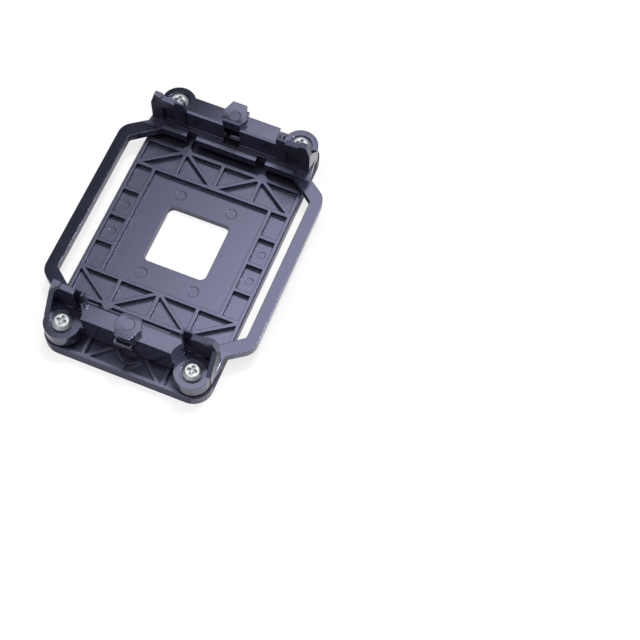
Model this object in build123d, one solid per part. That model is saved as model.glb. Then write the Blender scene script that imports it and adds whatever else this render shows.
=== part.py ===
from build123d import *
import os

# Ribbed CPU cooler backplate with its retention frame, four screws and four threaded inserts.
# Millimetres, +Z up, underside of the plate at Z = 0, origin under the middle of the part.
# The rails lie across X at the two ends of Y, and the front half mirrors the rear half.

# Screw pattern that the whole part is built on
screw_pitch_x = 48.0
screw_pitch_y = 96.0

# Backplate
plate_margin = 7.0            # screw axis to plate edge, also the corner radius
plate_height = 5.0            # underside to rib tops
plate_floor = 2.8             # thickness between the ribs
plate_edge_chamfer = 0.4
rim_width = 1.6
rib_width = 1.3
cutout_size = 23.7
cutout_corner_radius = 2.3
panel_half_x = 22.7           # rib lines round the flat middle panel
panel_half_y = 22.75
side_divider_pitch = 11.3     # ribs that divide the two side columns
hub_x = 14.75                 # star hubs where the ribs of each end meet
hub_y = 33.4
hub_diameter = 4.1
hub_sides = 12                # few faces, because the hubs repeat
ring_setback = 2.0            # ring rib of each end, in from the screw row
ring_radius = 4.5
ring_sides = 24
end_node_x = 14.0             # where the ring's diagonals reach the end rim

# Shallow round marks left by the ejector pins
mark_depth = 0.25
mark_sides = 14
panel_mark_x = 9.9
panel_mark_y = 16.85
panel_mark_diameter = 4.0
side_mark_diameter = 2.7
lug_mark_diameter = 4.4
lug_mark_depth = 0.12

# Corner posts and threaded inserts
post_diameter = 9.0
post_rise = 1.2               # above the rib tops
insert_diameter = 5.6
insert_floor = 0.9            # plastic left under the insert
fit_clearance = 0.03

# Screws
shank_diameter = 3.9
shank_length = 8.0
thread_clearance = 0.05
head_diameter = 7.1
head_height = 2.1
head_rim_height = 0.9
head_top_diameter = 4.9
recess_length = 3.3
recess_width = 0.8
recess_depth = 0.8

# Frame levels, all above the seat on the posts
flange_height = 3.5
arm_height = 3.3
boss_height = 5.6
rail_height = 12.9
tower_height = 16.6           # ledge between the tower's two posts
post_height = 18.2
lug_inner_height = 15.9
lug_dip_height = 15.8
lug_tip_height = 16.1
lip_top_height = 11.7         # outer lip of the clip lug
lip_low_height = 9.3
window_height = 11.6          # top of the clip window
tower_window_height = 12.4

# Frame in plan
boss_diameter = 12.8
counterbore_diameter = 8.4
counterbore_depth = 0.7
screw_hole_clearance = 0.25
wall = 1.8
rail_setback = 0.5            # outer wall of the rail, in from the screw row
rail_depth = 6.6
rail_edge_chamfer = 0.65      # along the top of the rail's inner wall
rail_half_length = 19.3
rail_end_chamfer = 1.8
driver_clearance = 1.2        # kept free round each boss, above its top
flange_reach = 4.2            # flange in front of the rail's inner wall
flange_edge_width = 1.5       # slightly sloped strip along the flange edge
flange_edge_drop = 0.16
notch_left_x = -14.45         # notches in the flange edge, the same at both ends
notch_right_x = 12.7
notch_width = 3.65
notch_depth = 2.65
tower_proud = 1.35            # tower face, in front of the rail's inner wall
tower_depth = 2.1
tower_skin = 0.7              # wall of the post at the rail, which is hollow behind
tower_top_slope = 0.6         # fall of the tower's tops towards the middle of the rail
tower_inner_end = 17.8        # end of the tower at the rail
inner_post_end = 21.2         # posts at the two ends of the tower
outer_post_start = 26.4
outer_post_end = 29.2
end_wall_outer = 30.7
end_wall_slope_top = 13.2
window_half_width = 3.0
window_foot = 1.5             # how far the clip window runs out into the flange
tower_window_width = 5.0
tower_window_depth = 1.5
lug_half_width = 3.2
lug_wide_half_width = 4.7
lug_wide_reach = 3.7          # widest place of the lug, from the rail's inner wall
lug_tip_half_width = 2.7
lug_overhang = 2.1
lug_undercut = 0.9            # groove between the lug's tip and its lip
lip_half_width = 3.2
lip_proud = 0.6

# Arms
arm_outer_x = 39.7
arm_width = 4.3
arm_inner_bend = 7.9          # inner corner of the arm, in from the flange edge
arm_outer_bend = 4.6          # outer corner of the arm, in from the flange edge
arm_root_x = 25.4
arm_root_outer_x = 31.6
arm_root_outer = 1.2          # where the outer diagonal ends, out from the flange edge
arm_outer_radius = 6.0
arm_inner_radius = 1.2

# Places worked out from the sizes above
screw_x = screw_pitch_x / 2
screw_y = screw_pitch_y / 2
plate_width = screw_pitch_x + 2 * plate_margin
plate_length = screw_pitch_y + 2 * plate_margin
rib_height = plate_height - plate_floor
seat_z = plate_height + post_rise
head_seat_z = seat_z + boss_height - counterbore_depth
boss_radius = boss_diameter / 2
driver_radius = boss_radius + driver_clearance
rail_outer_y = screw_y - rail_setback
rail_inner_y = rail_outer_y - rail_depth
flange_inner_y = rail_inner_y - flange_reach
tower_inner_y = rail_inner_y - tower_proud
tower_outer_y = tower_inner_y + tower_depth
lug_tip_y = rail_outer_y + lug_overhang
arm_inner_x = arm_outer_x - arm_width
corners = [(-screw_x, -screw_y), (screw_x, -screw_y), (-screw_x, screw_y), (screw_x, screw_y)]
corner_names = ["front_left", "front_right", "rear_left", "rear_right"]


def rib(start, end):
    """Plan of one straight rib between two points."""
    line = Vector(*end) - Vector(*start)
    middle = (Vector(*end) + Vector(*start)) / 2
    turn = Axis.Y.direction.get_signed_angle(line, Vector(0, 0, 1))
    return Pos(middle.X, middle.Y) * Rot(0, 0, turn) * Rectangle(rib_width, line.length + rib_width)


def prism(points, low, high):
    """Upright prism over a plan outline between two levels."""
    return Pos(0, 0, low) * extrude(make_face(Polyline(*points, close=True)), high - low)


def block(low, high):
    """Plain block between two opposite corners."""
    size = [b - a for a, b in zip(low, high)]
    return Pos(*low) * Box(*size, align=(Align.MIN, Align.MIN, Align.MIN))


def side_profile(points, x_low, x_high):
    """Solid with a Y-Z outline, from one X to another."""
    outline = make_face(Polyline(*[(x_low, y, z) for y, z in points], close=True))
    return extrude(outline, x_high - x_low, dir=(1, 0, 0))


def end_rib_plans():
    """Ribs of the plate's rear end zone."""
    rim_x = plate_width / 2 - rim_width / 2
    rim_y = plate_length / 2 - rim_width / 2
    ring_y = screw_y - ring_setback
    plans = [rib((-rim_x, panel_half_y), (rim_x, panel_half_y))]
    plans.append(rib((-rim_x, hub_y), (rim_x, hub_y)))
    plans.append(rib((0, panel_half_y), (0, hub_y)))
    plans.append(rib((0, ring_y + ring_radius), (0, rim_y)))
    ring = RegularPolygon(ring_radius + rib_width / 2, ring_sides)
    ring -= RegularPolygon(ring_radius - rib_width / 2, ring_sides)
    plans.append(Pos(0, ring_y) * ring)
    for side in (-1, 1):
        hub = (side * hub_x, hub_y)
        plans.append(Pos(*hub) * RegularPolygon(hub_diameter / 2, hub_sides))
        plans.append(rib((side * hub_x, panel_half_y), (side * hub_x, rim_y)))
        plans.append(rib(hub, (side * rim_x, panel_half_y)))
        plans.append(rib(hub, (0, panel_half_y)))
        plans.append(rib((side * ring_radius, ring_y), (side * end_node_x, rim_y)))
    return plans


def middle_rib_plans():
    """Ribs beside the middle panel, with the dividers of the side columns."""
    rim_x = plate_width / 2 - rim_width / 2
    plans = []
    for side in (-1, 1):
        x = side * panel_half_x
        plans.append(rib((x, -panel_half_y), (x, panel_half_y)))
        for row in (-1, 0, 1):
            y = row * side_divider_pitch
            plans.append(rib((x, y), (side * rim_x, y)))
    return plans


def ejector_marks():
    """Shallow round marks on the panel and in the side columns."""
    column_x = (panel_half_x + plate_width / 2 - rim_width / 2) / 2
    marks = []
    for sx in (-1, 1):
        for sy in (-1, 1):
            panel_mark = RegularPolygon(panel_mark_diameter / 2, mark_sides)
            marks.append(Pos(sx * panel_mark_x, sy * panel_mark_y) * panel_mark)
            side_mark = RegularPolygon(side_mark_diameter / 2, mark_sides)
            marks.append(Pos(sx * column_x, sy * side_divider_pitch / 2) * side_mark)
    return marks


def make_backplate():
    """Ribbed moulding with a rim, a square cut-out and four corner posts."""
    outline = RectangleRounded(plate_width, plate_length, plate_margin)
    inside = RectangleRounded(plate_width - 2 * rim_width, plate_length - 2 * rim_width,
                              plate_margin - rim_width)
    body = extrude(outline, plate_height)
    body = chamfer(body.edges().group_by(Axis.Z)[0], plate_edge_chamfer)
    body = chamfer(body.edges().group_by(Axis.Z)[-1], plate_edge_chamfer)
    body -= Pos(0, 0, plate_floor) * extrude(inside, rib_height)
    rear = Sketch() + end_rib_plans()
    ribs = rear + Rot(0, 0, 180) * rear + middle_rib_plans()
    body += Pos(0, 0, plate_floor) * extrude(ribs & inside, rib_height)
    for mark in ejector_marks():
        body -= Pos(0, 0, plate_floor - mark_depth) * extrude(mark, mark_depth)
    body -= extrude(RectangleRounded(cutout_size, cutout_size, cutout_corner_radius), plate_floor)
    post = extrude(Circle(post_diameter / 2), seat_z - plate_floor)
    bore = extrude(Circle(insert_diameter / 2 + fit_clearance), seat_z - insert_floor)
    for x, y in corners:
        body += Pos(x, y, plate_floor) * post
        body -= Pos(x, y, insert_floor) * bore
    return body


def make_insert():
    """Threaded sleeve of one corner post, standing at its own screw axis."""
    ring = Circle(insert_diameter / 2) - Circle(shank_diameter / 2 + thread_clearance)
    return Pos(0, 0, insert_floor) * extrude(ring, seat_z - insert_floor)


def make_screw():
    """Pan head screw with a bevelled head and a cross recess, standing at its own axis."""
    head_radius = head_diameter / 2
    shank_radius = shank_diameter / 2
    outline = [(0, head_height), (0, -shank_length), (shank_radius, -shank_length), (shank_radius, 0),
               (head_radius, 0), (head_radius, head_rim_height), (head_top_diameter / 2, head_height)]
    body = revolve(Plane.XZ * make_face(Polyline(*outline, close=True)), Axis.Z)
    slot = Rectangle(recess_length, recess_width) + Rectangle(recess_width, recess_length)
    body -= Pos(0, 0, head_height - recess_depth) * extrude(slot, recess_depth)
    return Pos(0, 0, head_seat_z) * body


def make_lug():
    """Clip lug over the window: a flared head whose top dips and turns up, with a lip below its tip."""
    right = [(lug_half_width, rail_inner_y), (lug_wide_half_width, rail_inner_y + lug_wide_reach),
             (lug_tip_half_width, lug_tip_y)]
    plan = right + [(-x, y) for x, y in reversed(right)]
    low = seat_z + window_height
    lip_low = seat_z + lip_low_height
    inner_top = (rail_inner_y, seat_z + lug_inner_height)
    dip_y = (rail_inner_y + rail_outer_y) / 2
    tip_top = (lug_tip_y, seat_z + lug_tip_height)
    outline = [ThreePointArc(inner_top, (dip_y, seat_z + lug_dip_height), tip_top)]
    neck_y = lug_tip_y - lug_undercut
    lip_top = seat_z + lip_top_height
    outline.append(Polyline(tip_top, (neck_y, lip_top), (neck_y, lip_low), (rail_outer_y, lip_low),
                            (rail_outer_y, low), (rail_inner_y, low), inner_top))
    side = extrude(Plane.YZ * make_face(outline), lug_wide_half_width, both=True)
    body = prism(plan, lip_low, seat_z + lug_tip_height) & side
    body += block((-lip_half_width, rail_outer_y, lip_low),
                  (lip_half_width, lug_tip_y + lip_proud, lip_top))
    mark = extrude(RegularPolygon(lug_mark_diameter / 2, mark_sides), lug_tip_height)
    return body - Pos(0, dip_y, seat_z + lug_dip_height - lug_mark_depth) * mark


def make_tower(side):
    """Wall beside one screw, with a post at each end, a square pocket and a sloped end wall."""
    ledge = seat_z + tower_height
    top = seat_z + post_height
    slope_top = seat_z + end_wall_slope_top
    face = [(tower_inner_end, seat_z), (end_wall_outer, seat_z), (end_wall_outer, slope_top),
            (outer_post_end, top + tower_top_slope / 2), (outer_post_start, top),
            (outer_post_start, ledge + tower_top_slope), (inner_post_end, ledge),
            (inner_post_end, top), (tower_inner_end, top)]
    outline = make_face(Polyline(*[(side * x, tower_inner_y, z) for x, z in face], close=True))
    body = extrude(outline, tower_depth, dir=(0, 1, 0))
    axis_x = side * screw_x
    window_x = tower_window_width / 2
    body -= block((axis_x - window_x, tower_inner_y, seat_z + flange_height),
                  (axis_x + window_x, tower_inner_y + tower_window_depth, seat_z + tower_window_height))
    skin_x = sorted((side * (tower_inner_end + tower_skin), side * inner_post_end))
    body -= block((skin_x[0], tower_inner_y + tower_skin, seat_z + boss_height),
                  (skin_x[1], tower_outer_y, top))
    slope = [(tower_outer_y, seat_z), (screw_y, seat_z), (screw_y, seat_z + boss_height),
             (tower_outer_y, slope_top)]
    end_x = sorted((side * end_wall_outer, side * (end_wall_outer - wall)))
    return body + side_profile(slope, *end_x)


def make_flange():
    """Foot of one rail, with its two bosses and the two notches in its edge."""
    top = seat_z + flange_height
    right = [(arm_root_x, flange_inner_y), (arm_root_outer_x, flange_inner_y + arm_root_outer),
             (screw_x + boss_radius, screw_y), (screw_x, screw_y), (screw_x, rail_outer_y)]
    left = [(-x, y) for x, y in reversed(right)]
    body = prism(right + left, seat_z, top)
    edge = [(flange_inner_y, top), (flange_inner_y + flange_edge_width, top),
            (flange_inner_y, top - flange_edge_drop)]
    body -= side_profile(edge, -arm_root_x, arm_root_x)
    for x in (notch_left_x, notch_right_x):
        body -= block((x - notch_width / 2, flange_inner_y, seat_z),
                      (x + notch_width / 2, flange_inner_y + notch_depth, top))
    for x in (-screw_x, screw_x):
        body += Pos(x, screw_y, seat_z) * extrude(Circle(boss_radius), boss_height)
    return body


def make_rail():
    """Rail between the bosses, with its ends cut back round the screwdriver's path."""
    top = seat_z + rail_height
    right = [(rail_half_length - rail_end_chamfer, rail_inner_y),
             (rail_half_length, rail_inner_y + rail_end_chamfer), (rail_half_length, rail_outer_y)]
    left = [(-x, y) for x, y in reversed(right)]
    section = [(rail_inner_y, seat_z), (rail_outer_y, seat_z), (rail_outer_y, top),
               (rail_inner_y + rail_edge_chamfer, top), (rail_inner_y, top - rail_edge_chamfer)]
    body = prism(right + left, seat_z, top) & side_profile(section, -rail_half_length, rail_half_length)
    driver = extrude(Circle(driver_radius), rail_height)
    for x in (-screw_x, screw_x):
        body -= Pos(x, screw_y, seat_z + boss_height) * driver
    return body


def make_end():
    """Rear end of the frame: flange, hollow rail, lug, towers and bored bosses."""
    body = make_rail() + make_lug() + make_tower(-1) + make_tower(1) + make_flange()
    core_x = screw_x - driver_radius - wall
    core_top = seat_z + rail_height - wall
    body -= block((-core_x, rail_inner_y + wall, seat_z), (core_x, rail_outer_y - wall, core_top))
    window_top = seat_z + window_height
    body -= block((-window_half_width, rail_inner_y, seat_z + flange_height),
                  (window_half_width, rail_outer_y, window_top))
    body -= block((-window_half_width, rail_inner_y - window_foot, seat_z),
                  (window_half_width, rail_inner_y + wall, window_top))
    hole = extrude(Circle(shank_diameter / 2 + screw_hole_clearance), boss_height)
    counterbore = extrude(Circle(counterbore_diameter / 2), counterbore_depth)
    for x in (-screw_x, screw_x):
        body -= Pos(x, screw_y, seat_z) * hole
        body -= Pos(x, screw_y, head_seat_z) * counterbore
    return body


def make_arm():
    """Right-hand bowed arm that joins the two ends."""
    bend_in = flange_inner_y - arm_inner_bend
    bend_out = flange_inner_y - arm_outer_bend
    root_out = flange_inner_y + arm_root_outer
    rear = [(arm_outer_x, bend_out), (arm_root_outer_x, root_out), (arm_root_x, root_out),
            (arm_root_x, flange_inner_y), (arm_inner_x, bend_in)]
    front = [(x, -y) for x, y in reversed(rear)]
    body = prism(rear + front, seat_z + flange_height - arm_height, seat_z + flange_height)
    body = fillet(body.edges().filter_by(Axis.Z).group_by(Axis.X)[-1], arm_outer_radius)
    bends = [Vector(arm_inner_x, y, 0) for y in (-bend_in, bend_in)]
    inner = [min(body.edges().filter_by(Axis.Z), key=lambda e: (e.center() - b).length) for b in bends]
    return fillet(inner, arm_inner_radius)


def make_frame():
    """Whole retention frame, one moulding."""
    rear = make_end()
    arm = make_arm()
    return rear + mirror(rear, Plane.XZ) + arm + mirror(arm, Plane.YZ)


os.makedirs("parts", exist_ok=True)
export_step(make_backplate(), "parts/backplate.step")
export_step(make_frame(), "parts/retention_frame.step")
for name, (x, y) in zip(corner_names, corners):
    export_step(Pos(x, y) * make_screw(), f"parts/screw_{name}.step")
    export_step(Pos(x, y) * make_insert(), f"parts/threaded_insert_{name}.step")
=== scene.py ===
from collections import namedtuple
from math import pi, radians

import bpy
from mathutils import Matrix, Vector

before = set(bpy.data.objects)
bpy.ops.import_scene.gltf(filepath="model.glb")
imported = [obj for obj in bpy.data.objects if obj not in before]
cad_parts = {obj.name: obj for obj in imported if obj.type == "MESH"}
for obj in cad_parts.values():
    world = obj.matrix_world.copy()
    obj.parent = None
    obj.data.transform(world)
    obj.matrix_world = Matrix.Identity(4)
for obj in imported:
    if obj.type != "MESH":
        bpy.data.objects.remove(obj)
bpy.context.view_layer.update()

# CPU cooler backplate with its retention frame: finishes, floor, light and camera.
# Lengths are in metres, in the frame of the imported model, where no other unit is named.

MM = 0.001
WHITE = (1.0, 1.0, 1.0, 1.0)

# Camera, as the photograph was taken
picture_px = 640
focal_px = 1376.34
sensor_width_mm = 36.0
camera_place = Vector((118.46, -203.16, 434.47)) * MM
nearest_seen = 0.01
view_azimuth = radians(18.21)        # from +Y towards -X
view_elevation = radians(64.78)      # looking down
view_roll = radians(3.89)

# Lamps
softbox_height = 1.0                 # over the floor
softbox_turn = radians(-8.0)
softbox_width = 1.03
softbox_length = 1.00
softbox_place = (0.159, 0.124)
softbox_radiance = 3.3
key_direction = Vector((0.05, 0.35, 0.94))   # towards the lamp
key_strength = 1.2
key_angle = radians(6.0)
bounce_direction = Vector((-0.25, -0.85, 0.48))
bounce_distance = 1.2
bounce_size = (0.9, 0.4)
bounce_radiance = 2.5

# Floor and room
white_background = 1.0
dark_ceiling = 0.04                  # brightness of the room above the softbox
wall_rise = (0.10, 0.35)             # rise of a ray's direction, over which wall turns into ceiling
floor_size = 6.0
floor_color = (0.85, 0.85, 0.85, 1.0)
floor_roughness = 0.9
floor_seen_white = 0.75              # share of plain white in the floor that the camera sees
floor_fade = (0.3, 0.9)              # distances over which it turns plain white for the camera
floor_mirrored_white = 0.10          # the same share where a finish mirrors the floor

# Effects that the finishes share
grain_detail = 3.0
flow_detail = 4.0
noise_roughness = 0.6
edge_samples = 6

# Moulded plastic
black_plastic = (0.0130, 0.0135, 0.0230, 1.0)
plastic_sheen_tint = (0.63, 0.64, 0.95, 1.0)
plastic_sheen_level = 0.99
plastic_refraction = 1.55
plastic_grain = {"Grain Size": 0.25 * MM, "Flow Size": 7.0 * MM}
plastic_edges = {"Radius": 0.3 * MM, "Spread": 4.0}
plastic_bump = 0.35
plastic_gloss_spread = 0.04          # of the roughness, to either side
edge_wear_and_highlight_paleness = 2.2                  # colour of the paler edges, as a multiple of the plastic's: partly wear, partly a painted highlight

# Plated and turned metal
zinc = (0.50, 0.515, 0.54, 1.0)
brass = (0.66, 0.45, 0.17, 1.0)
metal_grain = {"Grain Size": 0.3 * MM, "Flow Size": 1.2 * MM}
metal_edges = {"Radius": 0.9 * MM, "Spread": 3.0}
metal_bump = {"Strength": 0.25, "Distance": 0.02 * MM}
metal_gloss_spread = 0.08

# Zones of the mouldings with a finish of their own: spans in mm of the distance from the middle
# along X and Y and of the height, how far the surface has to face upwards, roughness, and share
# of the plastic's colour, where a share below 1 darkens the colour as painted shade
Zone = namedtuple("Zone", "x y z facing roughness color_share")
full_width = (-1.0, 45.0)
any_facing = -2.0
upwards = 0.7
flange_foot = Zone(full_width, (36.4, 41.0), (-1.0, 9.8), any_facing, 0.32, 1.0)
# Tower faces: colour at 0.6, painted shade where these faces lie in shadow
tower_faces = Zone(full_width, (39.3, 39.7), (-1.0, 30.0), any_facing, 0.32, 0.6)
tower_tops = Zone(full_width, (39.7, 42.0), (20.5, 30.0), upwards, 0.55, 1.0)
# Tower pits: colour at 0.1, painted shade in the recesses
tower_pits = Zone((21.0, 26.6), (40.9, 41.1), (7.0, 17.5), any_facing, 0.32, 0.1)
under_rails = Zone(full_width, (40.5, 47.4), (-1.0, 5.3), any_facing, 0.75, 1.0)
plate_ends = Zone(full_width, (54.7, 56.0), (-1.0, 4.7), any_facing, 0.75, 1.0)


def node(tree, kind, values=None, **settings):
    """One shader node with its settings and the values of its free inputs."""
    made = tree.nodes.new(kind)
    for name, value in settings.items():
        setattr(made, name, value)
    for name, value in (values or {}).items():
        made.inputs[name].default_value = value
    return made


def effect_group(name, inputs, outputs):
    """An empty node group with named sockets, and its two end nodes."""
    tree = bpy.data.node_groups.new(name, "ShaderNodeTree")
    for socket in inputs:
        tree.interface.new_socket(socket, in_out="INPUT", socket_type="NodeSocketFloat")
    for socket, kind in outputs:
        tree.interface.new_socket(socket, in_out="OUTPUT", socket_type=kind)
    return tree, node(tree, "NodeGroupInput"), node(tree, "NodeGroupOutput")


def placed(tree, group, values):
    """One use of an effect group in a material, with its own values."""
    return node(tree, "ShaderNodeGroup", values, node_tree=group)


def moulded_grain():
    """Fine spark-eroded grain, and slow flow marks, as two masks."""
    tree, start, end = effect_group("moulded grain", ("Grain Size", "Flow Size"),
                                    [("Grain", "NodeSocketFloat"), ("Flow", "NodeSocketFloat")])
    place = node(tree, "ShaderNodeTexCoord")
    for size, result, detail in (("Grain Size", "Grain", grain_detail), ("Flow Size", "Flow", flow_detail)):
        scale = node(tree, "ShaderNodeMath", {0: 1.0}, operation="DIVIDE")
        noise = node(tree, "ShaderNodeTexNoise", {"Detail": detail, "Roughness": noise_roughness})
        tree.links.new(start.outputs[size], scale.inputs[1])
        tree.links.new(scale.outputs[0], noise.inputs["Scale"])
        tree.links.new(place.outputs["Object"], noise.inputs["Vector"])
        tree.links.new(noise.outputs["Fac"], end.inputs[result])
    return tree


def soft_edges():
    """Small rounding of every edge, as a normal, and a mask of where the edges are."""
    tree, start, end = effect_group("soft edges", ("Radius", "Spread"),
                                    [("Normal", "NodeSocketVector"), ("Edge", "NodeSocketFloat")])
    rounded = node(tree, "ShaderNodeBevel", samples=edge_samples)
    face = node(tree, "ShaderNodeNewGeometry")
    match = node(tree, "ShaderNodeVectorMath", operation="DOT_PRODUCT")
    apart = node(tree, "ShaderNodeMath", {0: 1.0}, operation="SUBTRACT")
    mask = node(tree, "ShaderNodeMath", operation="MULTIPLY", use_clamp=True)
    tree.links.new(start.outputs["Radius"], rounded.inputs["Radius"])
    tree.links.new(rounded.outputs[0], match.inputs[0])
    tree.links.new(face.outputs["Normal"], match.inputs[1])
    tree.links.new(match.outputs["Value"], apart.inputs[1])
    tree.links.new(apart.outputs[0], mask.inputs[0])
    tree.links.new(start.outputs["Spread"], mask.inputs[1])
    tree.links.new(rounded.outputs[0], end.inputs["Normal"])
    tree.links.new(mask.outputs[0], end.inputs["Edge"])
    return tree


def finish_zone():
    """Mask of the surface inside spans of X, Y and height, on both sides, that faces up far enough."""
    limits = [f"{axis} {side}" for axis in "XYZ" for side in ("From", "To")] + ["Facing Up"]
    tree, start, end = effect_group("finish zone", limits, [("Zone", "NodeSocketFloat")])
    place = node(tree, "ShaderNodeTexCoord")
    spot = node(tree, "ShaderNodeSeparateXYZ")
    face = node(tree, "ShaderNodeSeparateXYZ")
    tree.links.new(place.outputs["Object"], spot.inputs["Vector"])
    tree.links.new(place.outputs["Normal"], face.inputs["Vector"])
    tests = [(face.outputs["Z"], "GREATER_THAN", "Facing Up")]
    for axis in "XYZ":
        away = node(tree, "ShaderNodeMath", operation="ABSOLUTE")
        tree.links.new(spot.outputs[axis], away.inputs[0])
        tests.append((away.outputs[0], "GREATER_THAN", f"{axis} From"))
        tests.append((away.outputs[0], "LESS_THAN", f"{axis} To"))
    inside_all = None
    for value, operation, limit in tests:
        inside = node(tree, "ShaderNodeMath", operation=operation)
        both = node(tree, "ShaderNodeMath", {1: 1.0}, operation="MULTIPLY")
        tree.links.new(value, inside.inputs[0])
        tree.links.new(start.outputs[limit], inside.inputs[1])
        tree.links.new(inside.outputs[0], both.inputs[0])
        if inside_all:
            tree.links.new(inside_all, both.inputs[1])
        inside_all = both.outputs[0]
    tree.links.new(inside_all, end.inputs["Zone"])
    return tree


def zone_mask(tree, zone):
    """Mask of one zone in a material."""
    limits = {"Facing Up": zone.facing}
    for axis, (low, high) in zip("XYZ", (zone.x, zone.y, zone.z)):
        limits[f"{axis} From"] = low * MM
        limits[f"{axis} To"] = high * MM
    return placed(tree, zone_group, limits).outputs["Zone"]


def added(tree, mask, amount, base):
    """A value with an amount added where a mask is 1. The value is a number or a socket."""
    made = node(tree, "ShaderNodeMath", {1: amount}, operation="MULTIPLY_ADD")
    tree.links.new(mask, made.inputs[0])
    if isinstance(base, float):
        made.inputs[2].default_value = base
    else:
        tree.links.new(base, made.inputs[2])
    return made.outputs[0]


def ranged(tree, mask, middle, spread):
    """A mask spread over a range of values about a middle one."""
    made = node(tree, "ShaderNodeMapRange", {"To Min": middle - spread, "To Max": middle + spread})
    tree.links.new(mask, made.inputs["Value"])
    return made.outputs["Result"]


def tinted(color, share):
    """A colour made darker or paler."""
    return tuple(share * channel for channel in color[:3]) + (1.0,)


def new_material(name):
    """A node material with its Principled shader."""
    made = bpy.data.materials.new(name)
    made.use_nodes = True
    return made, made.node_tree, made.node_tree.nodes["Principled BSDF"]


def add_relief(tree, shader, grain, edges, bump):
    """Gives a shader the soft edges with the grain on them."""
    tree.links.new(grain.outputs["Grain"], bump.inputs["Height"])
    tree.links.new(edges.outputs["Normal"], bump.inputs["Normal"])
    tree.links.new(bump.outputs["Normal"], shader.inputs["Normal"])


def plastic(name, roughness, flow_share, grain_depth, zones):
    """Black moulded plastic with grain, flow marks in colour and gloss, paler edges that are partly wear
    and partly a painted highlight, and its zones, some of which darken the colour as painted shade.
    """
    made, tree, shader = new_material(name)
    grain = placed(tree, grain_group, plastic_grain)
    edges = placed(tree, edge_group, plastic_edges)
    tone = node(tree, "ShaderNodeMix", data_type="RGBA")
    tone.inputs["A"].default_value = tinted(black_plastic, 1 - flow_share)
    tone.inputs["B"].default_value = tinted(black_plastic, 1 + flow_share)
    # Paler edges: partly wear, partly a painted highlight along every edge
    worn_and_highlit = node(tree, "ShaderNodeMix", data_type="RGBA")
    worn_and_highlit.inputs["B"].default_value = tinted(black_plastic, edge_wear_and_highlight_paleness)
    shaded = node(tree, "ShaderNodeVectorMath", operation="SCALE")
    bump = node(tree, "ShaderNodeBump", {"Strength": plastic_bump, "Distance": grain_depth})
    gloss = ranged(tree, grain.outputs["Flow"], roughness, plastic_gloss_spread)
    # Colour scaled down inside the zones, as painted shade on the tower faces and pits
    shade = 1.0
    for zone in zones:
        mask = zone_mask(tree, zone)
        gloss = added(tree, mask, zone.roughness - roughness, gloss)
        shade = added(tree, mask, zone.color_share - 1, shade)
    tree.links.new(grain.outputs["Flow"], tone.inputs["Factor"])
    tree.links.new(tone.outputs["Result"], worn_and_highlit.inputs["A"])
    tree.links.new(edges.outputs["Edge"], worn_and_highlit.inputs["Factor"])
    tree.links.new(worn_and_highlit.outputs["Result"], shaded.inputs[0])
    tree.links.new(shade, shaded.inputs["Scale"])
    tree.links.new(shaded.outputs["Vector"], shader.inputs["Base Color"])
    tree.links.new(gloss, shader.inputs["Roughness"])
    add_relief(tree, shader, grain, edges, bump)
    shader.inputs["Specular IOR Level"].default_value = plastic_sheen_level
    shader.inputs["Specular Tint"].default_value = plastic_sheen_tint
    shader.inputs["IOR"].default_value = plastic_refraction
    return made


def plated_metal(name, color, roughness, dark_share):
    """Plated or turned metal with soft edges and a fine speckle in its colour and gloss."""
    made, tree, shader = new_material(name)
    grain = placed(tree, grain_group, metal_grain)
    edges = placed(tree, edge_group, metal_edges)
    tone = node(tree, "ShaderNodeMix", data_type="RGBA")
    tone.inputs["A"].default_value = tinted(color, dark_share)
    tone.inputs["B"].default_value = color
    bump = node(tree, "ShaderNodeBump", metal_bump)
    gloss = ranged(tree, grain.outputs["Grain"], roughness, metal_gloss_spread)
    tree.links.new(grain.outputs["Flow"], tone.inputs["Factor"])
    tree.links.new(tone.outputs["Result"], shader.inputs["Base Color"])
    tree.links.new(gloss, shader.inputs["Roughness"])
    add_relief(tree, shader, grain, edges, bump)
    shader.inputs["Metallic"].default_value = 1.0
    return made


def make_floor():
    """Pale floor that shows as white and keeps a light shadow under the part."""
    bpy.ops.mesh.primitive_plane_add(size=floor_size)
    floor = bpy.context.object
    floor.name = "studio_floor"
    made, tree, shader = new_material("pale floor")
    shader.inputs["Base Color"].default_value = floor_color
    shader.inputs["Roughness"].default_value = floor_roughness
    shader.inputs["Specular IOR Level"].default_value = 0.0
    glow = node(tree, "ShaderNodeEmission", {"Color": WHITE, "Strength": white_background})
    path = node(tree, "ShaderNodeLightPath")
    place = node(tree, "ShaderNodeTexCoord")
    away = node(tree, "ShaderNodeVectorMath", operation="LENGTH")
    whiter = node(tree, "ShaderNodeMapRange", {"From Min": floor_fade[0], "From Max": floor_fade[1],
                                               "To Min": floor_seen_white, "To Max": 1.0},
                  interpolation_type="SMOOTHSTEP")
    seen_share = node(tree, "ShaderNodeMath", operation="MULTIPLY")
    mirrored = node(tree, "ShaderNodeMath", operation="MAXIMUM")
    blend = node(tree, "ShaderNodeMixShader")
    tree.links.new(place.outputs["Object"], away.inputs[0])
    tree.links.new(away.outputs["Value"], whiter.inputs["Value"])
    tree.links.new(path.outputs["Is Camera Ray"], seen_share.inputs[0])
    tree.links.new(whiter.outputs["Result"], seen_share.inputs[1])
    tree.links.new(path.outputs["Is Glossy Ray"], mirrored.inputs[0])
    tree.links.new(path.outputs["Is Transmission Ray"], mirrored.inputs[1])
    share = added(tree, mirrored.outputs[0], floor_mirrored_white, seen_share.outputs[0])
    tree.links.new(share, blend.inputs["Fac"])
    tree.links.new(shader.outputs["BSDF"], blend.inputs[1])
    tree.links.new(glow.outputs["Emission"], blend.inputs[2])
    tree.links.new(blend.outputs["Shader"], tree.nodes["Material Output"].inputs["Surface"])
    floor.data.materials.append(made)


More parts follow.
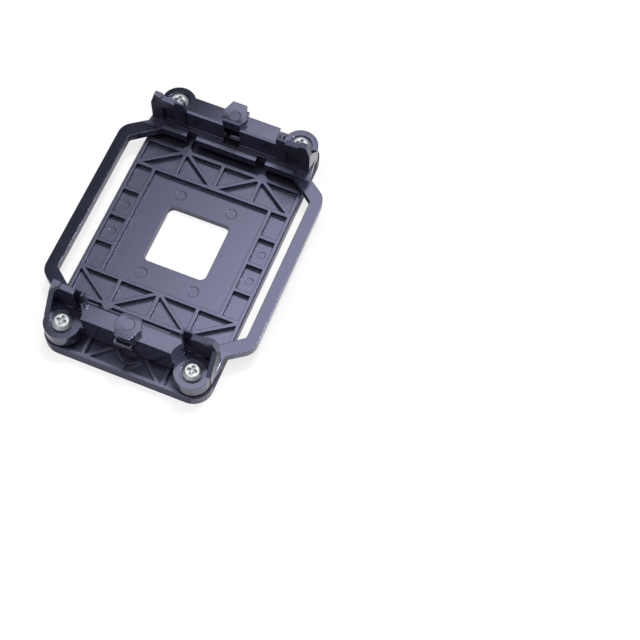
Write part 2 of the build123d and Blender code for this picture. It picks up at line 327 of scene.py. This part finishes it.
def make_room():
    """White walls round the part and a dark ceiling over it."""
    world = bpy.data.worlds.new("studio")
    world.use_nodes = True
    tree = world.node_tree
    place = node(tree, "ShaderNodeTexCoord")
    spot = node(tree, "ShaderNodeSeparateXYZ")
    level = node(tree, "ShaderNodeMapRange", {"From Min": wall_rise[0], "From Max": wall_rise[1],
                                              "To Min": white_background, "To Max": dark_ceiling},
                 interpolation_type="SMOOTHSTEP")
    tree.links.new(place.outputs["Generated"], spot.inputs["Vector"])
    tree.links.new(spot.outputs["Z"], level.inputs["Value"])
    tree.links.new(level.outputs["Result"], tree.nodes["Background"].inputs["Strength"])
    tree.nodes["Background"].inputs["Color"].default_value = WHITE
    bpy.context.scene.world = world


def make_key():
    """Lamp behind the part, which throws the short shadows towards the front."""
    lamp = bpy.data.lights.new("key lamp", "SUN")
    lamp.energy = key_strength
    lamp.angle = key_angle
    key = bpy.data.objects.new("key lamp", lamp)
    key.rotation_euler = key_direction.to_track_quat("Z", "Y").to_euler()
    bpy.context.scene.collection.objects.link(key)


def make_panel_lamp(name, size, radiance, place, turn):
    """Rectangular soft lamp of an even brightness, at a place and facing along its own -Z."""
    lamp = bpy.data.lights.new(name, "AREA")
    lamp.shape = "RECTANGLE"
    lamp.size, lamp.size_y = size
    lamp.energy = radiance * pi * size[0] * size[1]
    panel = bpy.data.objects.new(name, lamp)
    panel.matrix_world = Matrix.Translation(place) @ turn
    bpy.context.scene.collection.objects.link(panel)


def make_panel_lamps():
    """Softbox overhead, its edge between the two arms' reflections, and a bounce panel in front."""
    make_panel_lamp("softbox", (softbox_width, softbox_length), softbox_radiance,
                    (*softbox_place, softbox_height), Matrix.Rotation(softbox_turn, 4, "Z"))
    facing = bounce_direction.to_track_quat("Z", "Y").to_matrix().to_4x4()
    make_panel_lamp("bounce panel", bounce_size, bounce_radiance,
                    bounce_distance * bounce_direction.normalized(), facing)


def make_camera():
    """Camera at the photograph's place, angle and field of view."""
    lens = bpy.data.cameras.new("camera")
    lens.sensor_width = sensor_width_mm
    lens.sensor_fit = "HORIZONTAL"
    lens.lens = focal_px / picture_px * sensor_width_mm
    lens.clip_start = nearest_seen
    camera = bpy.data.objects.new("camera", lens)
    camera.matrix_world = (Matrix.Translation(camera_place)
                           @ Matrix.Rotation(view_azimuth, 4, "Z")
                           @ Matrix.Rotation(pi / 2 - view_elevation, 4, "X")
                           @ Matrix.Rotation(view_roll, 4, "Z"))
    bpy.context.scene.collection.objects.link(camera)
    bpy.context.scene.camera = camera


def dress(name, finish):
    """Gives one CAD node its finish."""
    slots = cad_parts[name].data.materials
    slots.clear()
    slots.append(finish)


grain_group = moulded_grain()
edge_group = soft_edges()
zone_group = finish_zone()
finishes = {
    "backplate": plastic("backplate plastic", roughness=0.285, flow_share=0.12, grain_depth=0.012 * MM,
                         zones=(under_rails, plate_ends)),
    "retention_frame": plastic("frame plastic", roughness=0.13, flow_share=0.08, grain_depth=0.010 * MM,
                               zones=(flange_foot, tower_faces, tower_tops, tower_pits)),
    "screw": plated_metal("zinc plating", zinc, roughness=0.48, dark_share=0.55),
    "threaded_insert": plated_metal("turned brass", brass, roughness=0.32, dark_share=0.82),
}
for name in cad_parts:
    piece = next(kind for kind in finishes if name.startswith(kind))
    dress(name, finishes[piece])

make_floor()
make_room()
make_panel_lamps()
make_key()
make_camera()
bpy.context.scene.view_settings.view_transform = "Standard"
